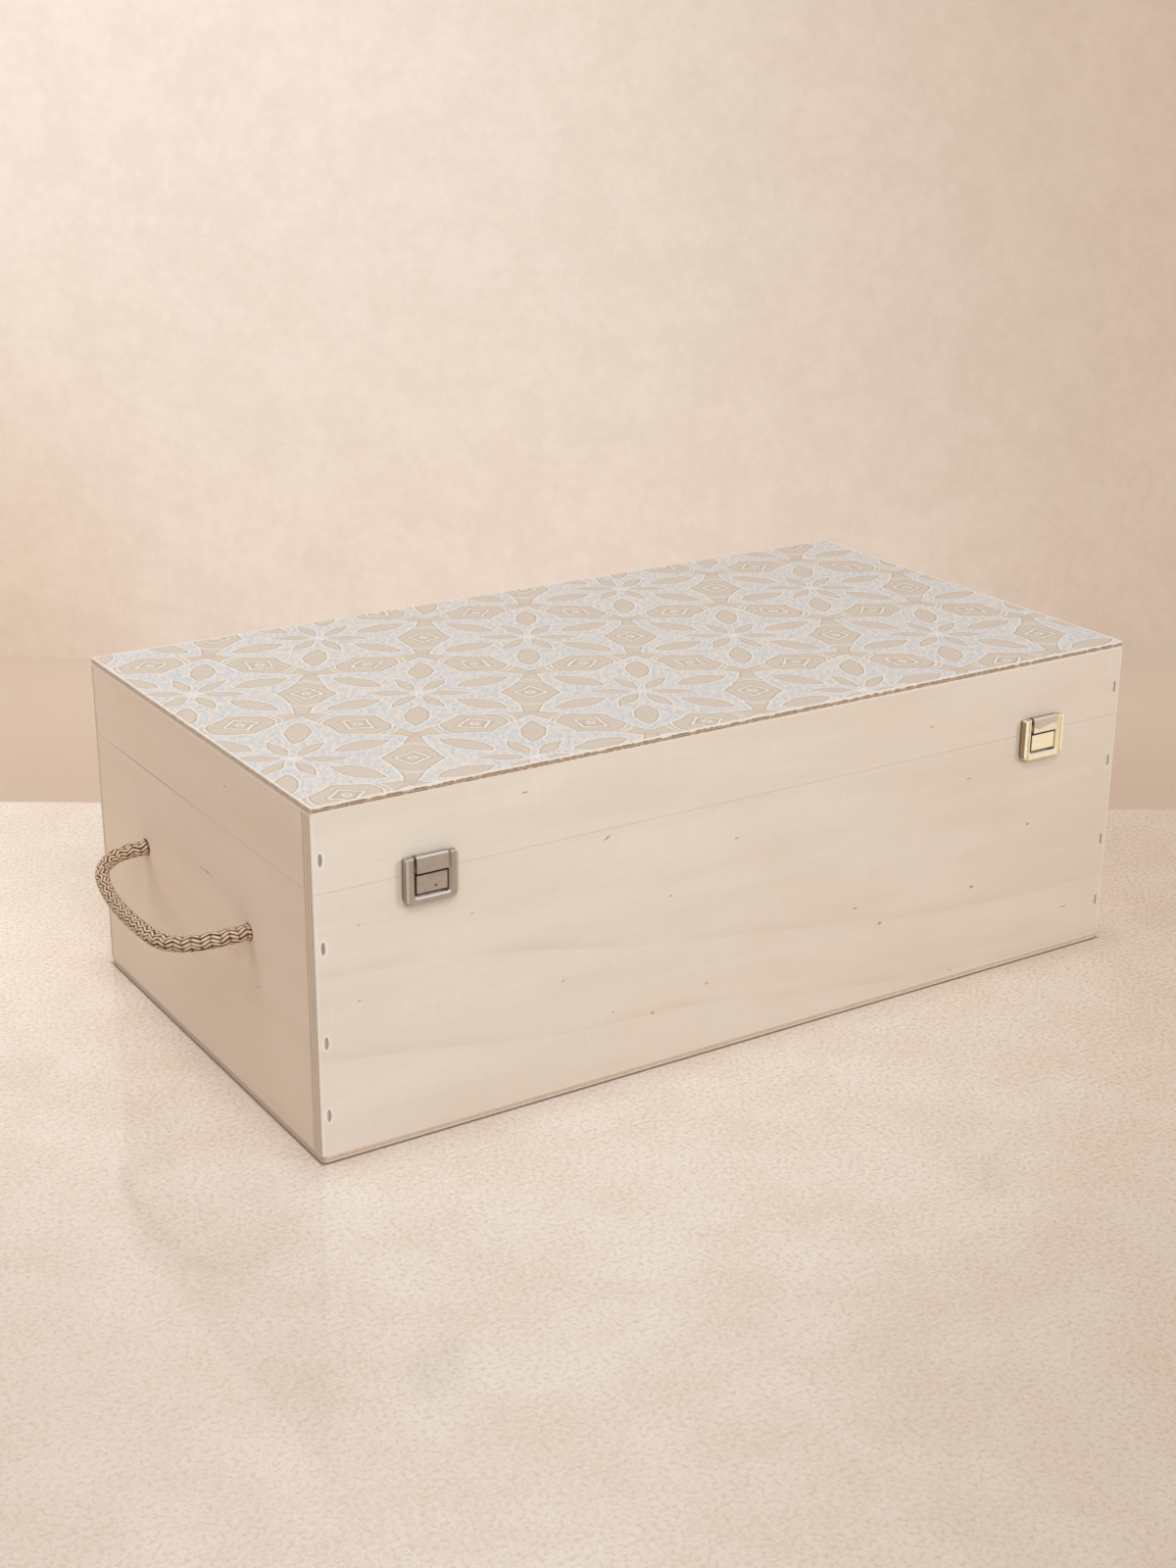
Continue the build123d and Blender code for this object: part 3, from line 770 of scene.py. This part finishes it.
# The ends are painted a little lighter towards the bottom, as light thrown up from the floor.
end_painted_light = ((0.0, 0.0, -1.0), -150.0, 0.0, (1.05, 1.045, 1.04, 1.0))
for side, sign in (("left", -1), ("right", 1)):
    end_ply = panel_finish(
        f"{side}_end_plywood", ("Y", "Z", "X", sign * half_length, -sign), end_colours, 1.33,
        left_end_marks_and_seam_shade if side == "left" else end_marks, None, end_painted_light)
    dress(end_ply, f"base_{side}_end", f"lid_{side}_end")
bottom_colours = (paint(230, 213, 196), paint(218, 197, 175))
bottom_ply = panel_finish("bottom_plywood", ("X", "Y", "Z", 0.0, 1.0), bottom_colours, 1.6)
dress(bottom_ply, "base_bottom")

# ---------------------------------------------------------------------------------------------
# The lid's top: 4 mm plywood glued on the rails and painted with a tile ornament. Six-petalled
# flowers in bare-wood beige are outlined in white, on a ground of short pale blue-grey and peach
# brush strokes.
# ---------------------------------------------------------------------------------------------
ornament, given, made = new_group(
    "tile ornament", [("Point", "Vector", None)], [("Colour", "Color"), ("Height", "Float")])
t = ornament
flat_point = move(t, "MULTIPLY", given["Point"], (1.0, 1.0, 0.0))
hand = add(t, "TexNoise", {"Vector": flat_point, "Scale": 0.09, "Detail": 2.0}).outputs["Color"]
quick_hand = add(t, "TexNoise", {"Vector": flat_point, "Scale": 0.45, "Detail": 1.0}).outputs["Color"]
middle_grey = (0.5, 0.5, 0.5)
sway = move(t, "MULTIPLY", move(t, "SUBTRACT", hand, middle_grey), (3.4, 3.4, 0.0))
tremor = move(t, "MULTIPLY", move(t, "SUBTRACT", quick_hand, middle_grey), (1.0, 1.0, 0.0))
drawn = move(t, "ADD", move(t, "ADD", flat_point, sway), tremor)
# One tile of the pattern is 199.2 by 115 mm, with a flower at each corner and one in its middle.
pattern_start = (128.6, 12.1, 0.0)
moved = move(t, "ADD", drawn, pattern_start)
half_tile, far_corner, near_corner = (99.6, 57.5, 0.0), (99.6, 57.5, 500.0), (-99.6, -57.5, -500.0)
first = move(t, "WRAP", moved, far_corner, near_corner)
second = move(t, "WRAP", move(t, "ADD", moved, half_tile), far_corner, near_corner)
lengths = [add(t, "VectorMath", (v,), operation="LENGTH").outputs["Value"] for v in (first, second)]
nearer = calc(t, "LESS_THAN", lengths[0], lengths[1])
chosen = add(t, "Mix", {0: nearer, 4: second, 5: first}, data_type="VECTOR").outputs[1]
radius = calc(t, "MINIMUM", lengths[0], lengths[1])
parts = add(t, "SeparateXYZ", (chosen,)).outputs
angle = calc(t, "ARCTAN2", parts[1], parts[0])
folded = calc(t, "ABSOLUTE", calc(t, "WRAP", angle, math.pi / 6, -math.pi / 6))
x = calc(t, "MULTIPLY", radius, calc(t, "COSINE", folded))
y = calc(t, "MULTIPLY", radius, calc(t, "SINE", folded))
tilt = calc(t, "SUBTRACT", math.pi / 6, folded)
petal_x = calc(t, "MULTIPLY", radius, calc(t, "COSINE", tilt))
petal_y = calc(t, "MULTIPLY", radius, calc(t, "SINE", tilt))


def distance_to(a, b, from_a, from_b):
    squares = [calc(t, "POWER", calc(t, "SUBTRACT", *pair), 2.0) for pair in ((from_a, a), (from_b, b))]
    return calc(t, "SQRT", calc(t, "ADD", *squares))


def line_at(value, half_width, soft=0.28):
    return fade(t, calc(t, "ABSOLUTE", value), half_width + soft, half_width)


def inside(value, soft=0.3):
    return fade(t, value, soft, -soft)


def both(*masks):
    total = masks[0]
    for mask in masks[1:]:
        total = calc(t, "MULTIPLY", total, mask)
    return total


field_middle, field_radius = (-2.03, -53.7), 83.6
oval_middle, oval_radius = (37.4, -15.9), 22.2
petal_start, petal_end, petal_half_width = 4.8, 27.8, 3.9
medallion_x, ring_radius, star_x = 57.5, 1.9, 66.4
field = calc(t, "SUBTRACT", distance_to(*field_middle, x, y), field_radius)
oval = calc(t, "SUBTRACT", distance_to(*oval_middle, x, y), oval_radius)
share = add(t, "MapRange", (petal_x, petal_start, petal_end, 0.0, 1.0)).outputs[0]
width = times(t, calc(t, "SINE", times(t, calc(t, "POWER", share, 0.85), math.pi)), petal_half_width)
petal = calc(t, "SUBTRACT", petal_y, calc(t, "SUBTRACT", width, 0.15))
medallion_u = calc(t, "SUBTRACT", petal_x, medallion_x)
end = calc(t, "SUBTRACT", petal_y, calc(t, "MULTIPLY_ADD", calc(t, "POWER", medallion_u, 2.0), -0.035, 17.6))
diamond_u = calc(t, "DIVIDE", calc(t, "ABSOLUTE", medallion_u), 1.32)
diamond = calc(t, "SUBTRACT", calc(t, "ADD", diamond_u, calc(t, "DIVIDE", petal_y, 1.5)), 6.0)
ring = calc(t, "SUBTRACT", distance_to(medallion_x, 0.0, petal_x, petal_y), ring_radius)
star = distance_to(star_x, 0.0, x, y)

ground = inside(field, 0.2)
bare = fade(t, field, -0.2, 0.2)
motif = highest(t, [inside(oval), inside(petal), bare])
band = both(bare, fade(t, end, -0.2, 0.2))
lines = highest(t, [
    line_at(calc(t, "ADD", field, 0.2), 0.45),
    both(line_at(calc(t, "SUBTRACT", oval, 0.55), 0.38), ground),
    both(line_at(calc(t, "SUBTRACT", petal, 0.5), 0.32), fade(t, radius, 30.5, 29.5)),
    both(line_at(calc(t, "SUBTRACT", end, 0.3), 0.4), bare),
    both(line_at(calc(t, "SUBTRACT", end, 3.4), 0.35), bare),
    line_at(diamond, 0.55), line_at(ring, 0.4)])
rims = highest(t, [
    line_at(calc(t, "ADD", oval, 0.45), 0.2),
    both(line_at(calc(t, "ADD", petal, 0.4), 0.18), fade(t, radius, 28.5, 27.5)),
    both(line_at(calc(t, "SUBTRACT", field, 0.9), 0.2), bare),
    both(line_at(calc(t, "ADD", end, 0.8), 0.2), bare),
    line_at(calc(t, "ADD", diamond, 1.25), 0.22),
    line_at(calc(t, "SUBTRACT", diamond, 1.2), 0.15)])

slant = add(t, "Mapping", {"Vector": flat_point, "Rotation": (0.0, 0.0, math.radians(-58))}).outputs[0]
strokes = clouds(t, move(t, "MULTIPLY", slant, (0.2, 0.45, 1.0)), 1.0, 3.0, 0.6)
elsewhere = move(t, "MULTIPLY", move(t, "ADD", slant, (71.0, 33.0, 5.0)), (0.17, 0.4, 1.0))
strokes_too = clouds(t, elsewhere, 1.0, 3.0, 0.55)
finer = move(t, "MULTIPLY", move(t, "ADD", slant, (11.0, 93.0, 9.0)), (0.5, 1.3, 1.0))
scratches = clouds(t, finer, 1.0, 3.0, 0.6)
washed = clouds(t, move(t, "ADD", flat_point, (40.0, 0.0, 0.0)), 0.022, 2.0)
wash = blend(t, fade(t, strokes, 0.38, 0.60), paint(196, 196, 196), paint(212, 208, 203))
warm_spots = fade(t, calc(t, "MULTIPLY_ADD", washed, 0.18, strokes_too), 0.59, 0.64, 0.0, 0.9)
wash = blend(t, warm_spots, wash, paint(228, 212, 197))
wash = blend(t, fade(t, scratches, 0.56, 0.68, 0.0, 0.6), wash, paint(228, 222, 215))
wash = blend(t, fade(t, scratches, 0.45, 0.33, 0.0, 0.6), wash, paint(189, 193, 195))
wood_fibre = clouds(t, move(t, "MULTIPLY", flat_point, (0.05, 1.0, 1.0)), 1.0, 3.0, 0.6)
wood_speckle = clouds(t, flat_point, 0.8, 3.0, 0.6)
wood = blend(t, fade(t, wood_speckle, 0.35, 0.65), paint(206, 189, 172), paint(213, 197, 180))
wood = blend(t, fade(t, wood_fibre, 0.5, 0.75, 0.0, 0.35), wood, paint(196, 176, 156))
middle_tone = highest(t, [both(inside(diamond), fade(t, ring, 0.2, 0.5)), fade(t, star, 5.0, 1.5)])
wood = blend(t, calc(t, "MULTIPLY", middle_tone, 0.45), wood, paint(200, 180, 160))
colour = blend(t, motif, wash, wood)
colour = blend(t, calc(t, "MULTIPLY", rims, 0.75), colour, paint(180, 156, 132))
brush = clouds(t, flat_point, 0.5, 2.0)
colour = blend(t, both(lines, fade(t, brush, 0.28, 0.46, 0.35, 1.0)), colour, paint(228, 222, 215))
feed(t, made["Colour"], colour)
feed(t, made["Height"], calc(t, "ADD", calc(t, "MULTIPLY", lines, 0.6), calc(t, "MULTIPLY", strokes, 0.3)))

worn_ends, worn_sides = (248.3, 249.2), (132.3, 133.2)
top_ply, tree, shader = finish("decorated_plywood")
laid, depth, face, parts = panel_coordinates(tree, "X", "Y", "Z", case_height, -1.0)
above = fade(tree, depth, 1.0, 0.5)
pattern = use(tree, ornament, {"Point": laid})
inner_skin = use(tree, veneer, {"Point": laid, "Pale": side_colours[0], "Warm": side_colours[1]})
cut_edge = use(tree, layers, {
    "Point": laid, "Depth": calc(tree, "ADD", depth, 0.35), "Sheet": 1.4, "Line": 0.45,
    "Core": paint(204, 178, 152), "Pale": paint(240, 226, 209), "Glue": paint(128, 98, 70)})
rim_x = fade(tree, calc(tree, "ABSOLUTE", parts[0]), *worn_ends)
rim_y = fade(tree, calc(tree, "ABSOLUTE", parts[1]), *worn_sides)
worn_rim = calc(tree, "MULTIPLY", calc(tree, "MAXIMUM", rim_x, rim_y), 0.85)
shown = blend(tree, worn_rim, pattern["Colour"], paint(243, 231, 216))
skin = blend(tree, above, inner_skin["Colour"], shown)
edge_colour = blend(tree, fade(tree, depth, 2.4, 2.9), cut_edge["Colour"], paint(230, 213, 194))
edge_colour = blend(tree, calc(tree, "MULTIPLY", rim_x, 0.45), edge_colour, paint(222, 198, 174))
tree.links.new(blend(tree, face, edge_colour, skin), shader.inputs["Base Color"])
shader.inputs["Roughness"].default_value = 0.55
shader.inputs["Specular IOR Level"].default_value = 0.35
high = add(tree, "Mix", {0: face, 2: cut_edge["Height"], 3: pattern["Height"]}).outputs[0]
bump(tree, shader, high, wood_relief)
dress(top_ply, "lid_top")

# ---------------------------------------------------------------------------------------------
# The staples: pale grey steel wire, driven through the front and back into the ends, a little below
# the surface. Their crowns are flattened, with dull patches and bright scrapes from the gun.
# ---------------------------------------------------------------------------------------------
worn_metal, given, made = new_group(
    "worn metal",
    [("Point", "Vector", None), ("Base", "Color", paint(178, 162, 144)),
     ("Bright", "Color", paint(214, 202, 186)), ("Dull", "Color", paint(120, 106, 92)),
     ("Wear", "Float", 0.5)],
    [("Colour", "Color"), ("Roughness", "Float"), ("Height", "Float")])
t = worn_metal
metal_relief = 0.00002
point = given["Point"]
cloud = clouds(t, point, 0.35, 3.0, 0.6)
grit = clouds(t, point, 3.5, 3.0, 0.6)
brushed = clouds(t, move(t, "MULTIPLY", point, (0.4, 2.0, 7.0)), 1.0, 2.0)
colour = blend(t, fade(t, cloud, 0.4, 0.7, 0.0, 0.45), given["Base"], given["Dull"])
colour = blend(t, fade(t, grit, 0.56, 0.72, 0.0, 0.4), colour, given["Dull"])
colour = blend(t, calc(t, "MULTIPLY", fade(t, brushed, 0.5, 0.7), given["Wear"]), colour, given["Bright"])
feed(t, made["Colour"], colour)
feed(t, made["Roughness"], fade(t, cloud, 0.3, 0.7, 0.3, 0.46))
feed(t, made["Height"], calc(t, "ADD", calc(t, "MULTIPLY", grit, 0.5), calc(t, "MULTIPLY", brushed, 0.4)))


def metal_finish(name, base, bright, dull, wear):
    material, tree, shader = finish(name)
    point, _ = millimetres(tree)
    colours = {"Base": base, "Bright": bright, "Dull": dull}
    metal = use(tree, worn_metal, {"Point": point, **colours, "Wear": wear})
    tree.links.new(metal["Colour"], shader.inputs["Base Color"])
    tree.links.new(metal["Roughness"], shader.inputs["Roughness"])
    shader.inputs["Metallic"].default_value = 1.0
    bump(tree, shader, metal["Height"], metal_relief)
    return material


wire = metal_finish("staple_wire", paint(222, 208, 193), paint(238, 228, 216), paint(196, 180, 164), 0.4)
dress(wire, "base_front_staples", "base_back_staples", "lid_front_staples", "lid_back_staples")

# ---------------------------------------------------------------------------------------------
# The ring latches: cast zinc rings, each hung from a folded flap on the lid, over a square catch on
# the base. Small spikes hold flap and catch in the wood. The left latch is satin nickel; the right
# one is thinly gilt, and its flap is worn back to pewter.
# ---------------------------------------------------------------------------------------------
# Where a latch's tones, painted highlights and shades change, in millimetres: beside its middle line,
# up the box and out from it.
streak_line, edge_highlight_line, side_gap_shade = 11.5, (12.5, 12.9), (7.9, 8.2)
lip_line, low_gap_shade, wood_shade_line = (139.2, 138.4), (129.0, 128.5), (-135.6, -134.5)
latch_middle = {}
for side in ("left", "right"):
    low_corner, high_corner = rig.box(f"{side}_latch_ring")
    latch_middle[side] = 1000 * (low_corner[0] + high_corner[0]) / 2


def latch_finish(name, middle, tones, wear):
    """Metal toned by its place on the latch: face, painted highlights on edge and bend, painted shade on top, walls and
    near the wood, and any extra.
    """
    material, tree, shader = finish(name)
    point, where = millimetres(tree)
    parts = add(tree, "SeparateXYZ", (point,)).outputs
    facing = add(tree, "SeparateXYZ", (where.outputs["Normal"],)).outputs
    sideways = calc(tree, "ABSOLUTE", calc(tree, "SUBTRACT", parts[0], middle))
    mottle = clouds(tree, point, 0.55, 4.0, 0.6)
    metal = use(tree, worn_metal, {
        "Point": point, "Base": tones["face"], "Bright": tones["edge"], "Dull": tones["dull"], "Wear": wear})
    colour = metal["Colour"]
    if "streak" in tones:
        run = fade(tree, calc(tree, "ABSOLUTE", calc(tree, "SUBTRACT", sideways, streak_line)), 0.9, 0.25)
        broken = fade(tree, mottle, 0.3, 0.6, 0.45, 0.95)
        colour = blend(tree, times(tree, run, broken), colour, tones["streak"])
        # A painted highlight along each arm's outer edge, in the edge tone.
        painted_edge_highlight = fade(tree, sideways, *edge_highlight_line)
        colour = blend(tree, painted_edge_highlight, colour, tones["edge"])
    if "lip" in tones:
        worn = calc(tree, "MULTIPLY_ADD", clouds(tree, point, 0.16, 1.0), 5.0, times(tree, sideways, 0.14))
        below = fade(tree, calc(tree, "SUBTRACT", parts[2], worn), *lip_line)
        colour = blend(tree, below, colour, tones["lip"])
    # A painted highlight on the bend, where faces turn from the front to the top.
    level = calc(tree, "ABSOLUTE", calc(tree, "ADD", facing[2], facing[1]))
    bend_highlight = times(tree, fade(tree, facing[2], 0.4, 0.55), fade(tree, level, 0.4, 0.15))
    colour = blend(tree, bend_highlight, colour, tones["bend"])
    # Painted shade: faces that look up take the darker top tone; on the catch it is near black, for the hollow under
    # the flap.
    colour = blend(tree, fade(tree, facing[2], 0.82, 0.92), colour, tones["top_shade"])
    # Painted shade: the side walls take the darker wall tone.
    colour = blend(tree, fade(tree, calc(tree, "ABSOLUTE", facing[0]), 0.75, 0.85), colour, tones["wall"])
    # Painted shade in the gaps below and beside the catch.
    if "gap_shade" in tones:
        colour = blend(tree, fade(tree, parts[2], *low_gap_shade), colour, tones["gap_shade"])
        colour = blend(tree, fade(tree, sideways, *side_gap_shade), colour, tones["gap_shade"])
    # Painted shade in a dent on the catch's face.
    if "dent_shade" in tones:
        spot = (middle + tones["dent_shade"][0], *tones["dent_shade"][1:], 0.8, 0.3)
        colour = blend(tree, speck(tree, parts, "X", "Z", spot), colour, tones["shade"])
    # Painted shade on the sides and tops close to the wood, but not on faces turned to it.
    shade_near_wood = times(tree, fade(tree, parts[1], *wood_shade_line), fade(tree, facing[1], -0.85, -0.7))
    shade_near_wood = times(tree, shade_near_wood, fade(tree, facing[1], 0.9, 0.7))
    colour = blend(tree, shade_near_wood, colour, tones["shade"])
    tree.links.new(colour, shader.inputs["Base Color"])
    tree.links.new(metal["Roughness"], shader.inputs["Roughness"])
    shader.inputs["Metallic"].default_value = tones.get("metal", 0.4)
    bump(tree, shader, metal["Height"], metal_relief)
    return material


# The bend tone is a painted highlight and the top, wall and shade tones are painted shade; the edge tone is both wear
# and a painted highlight.
nickel_tones = {
    "face": paint(186, 167, 150), "edge": paint(212, 197, 182), "dull": paint(166, 147, 130),
    "top_shade": paint(172, 154, 139), "bend": paint(244, 233, 222), "wall": paint(170, 150, 131),
    "shade": paint(90, 74, 60)}
streaked = {**nickel_tones, "streak": paint(178, 159, 142)}
nickel = latch_finish("satin_nickel", latch_middle["left"], streaked, 0.12)
nickel_flap = latch_finish("nickel_flap", latch_middle["left"], nickel_tones, 0.15)
dent_shade = {"dent_shade": (2.0, 131.2, 1.1), "top_shade": paint(40, 30, 24), "gap_shade": paint(70, 58, 48)}
nickel_catch = latch_finish("nickel_catch", latch_middle["left"], {**nickel_tones, **dent_shade}, 0.15)
dress(nickel, "left_latch_ring")
dress(nickel_flap, "left_latch_flap")
dress(nickel_catch, "left_latch_catch")
pewter_tones = {
    "face": paint(228, 206, 184), "edge": paint(240, 226, 210), "dull": paint(206, 182, 158),
    "top_shade": paint(170, 151, 133), "bend": paint(240, 227, 212), "wall": paint(150, 128, 104),
    "shade": paint(90, 72, 54), "lip": paint(255, 242, 212)}
pewter = latch_finish("worn_pewter", latch_middle["right"], pewter_tones, 0.2)
dress(pewter, "right_latch_flap")
gilt_tones = {
    "face": paint(255, 237, 190), "edge": paint(255, 250, 232), "dull": paint(240, 208, 148),
    "top_shade": paint(190, 164, 136), "bend": paint(230, 222, 214), "wall": paint(172, 142, 104),
    "shade": paint(90, 70, 50), "metal": 0.15}
gilt = latch_finish("gilt_brass", latch_middle["right"], {**gilt_tones, "streak": paint(220, 172, 106)}, 0.3)
# On the catch the top, wall and gap tones are painted dark shade, for the hollow under the flap and the slots round it.
catch_tones = {
    **gilt_tones, "face": paint(255, 236, 194), "dull": paint(255, 232, 182), "wall": paint(110, 86, 60),
    "top_shade": paint(84, 66, 48), "bend": paint(246, 240, 226), "gap_shade": paint(120, 96, 72)}
gilt_catch = latch_finish("gilt_catch", latch_middle["right"], catch_tones, 0.3)
dress(gilt, "right_latch_ring")
dress(gilt_catch, "right_latch_catch")
steel = metal_finish("latch_steel", paint(150, 142, 134), paint(200, 194, 186), paint(110, 102, 94), 0.4)
dress(steel, "left_latch_pin", "right_latch_pin")

# ---------------------------------------------------------------------------------------------
# The butt hinges: thin nickel-plated steel leaves on the back, rolled round a steel pin, with
# round-headed rivets through the back panel.
# ---------------------------------------------------------------------------------------------
plated = metal_finish("hinge_steel", paint(190, 180, 168), paint(220, 212, 202), paint(140, 130, 118), 0.4)
hinge_parts = ("base_leaf", "lid_leaf", "pin", "base_rivets", "lid_rivets")
for side in ("left", "right"):
    dress(plated, *[f"{side}_hinge_{part}" for part in hinge_parts])

made_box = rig.bounds()
with open("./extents.json", "w") as size_file:
    json.dump({"cad": [list(corner) for corner in cad_box], "visual": [list(corner) for corner in made_box]}, size_file)
